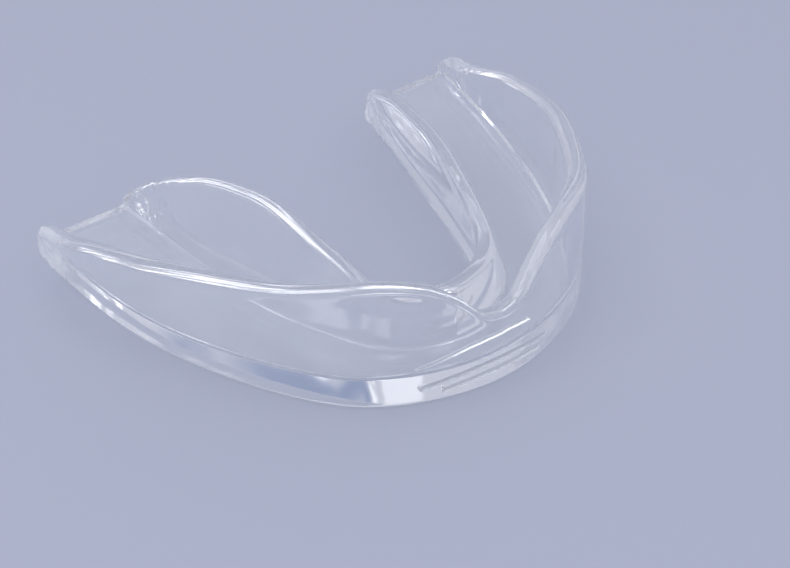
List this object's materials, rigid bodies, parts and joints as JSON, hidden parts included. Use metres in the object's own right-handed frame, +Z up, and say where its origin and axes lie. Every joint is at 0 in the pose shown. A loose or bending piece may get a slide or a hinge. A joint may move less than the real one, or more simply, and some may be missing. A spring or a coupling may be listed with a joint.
{
  "type": "mouthguard",
  "caption": "Clear boil-and-bite mouthguard for the upper teeth: a U-shaped channel with a bite slab, an outer wall notched at the lip's frenum and a lower inner wall.",
  "frame": {"origin": "on the flat underside, in the middle of the guard's width and of its front-to-back length", "axes": "+Z up from the underside into the tooth channel, +Y from the front teeth to the arms' ends, +X across the guard from its left arm to its right arm"},
  "size_m": [0.0614, 0.0502, 0.0164],
  "materials": {
    "clear_eva": "clear and glossy, with a faint blue-grey cast and slightly rippled moulded surfaces"
  },
  "bodies": {
    "root": {"mouthguard": "clear_eva"}
  },
  "joints": []
}
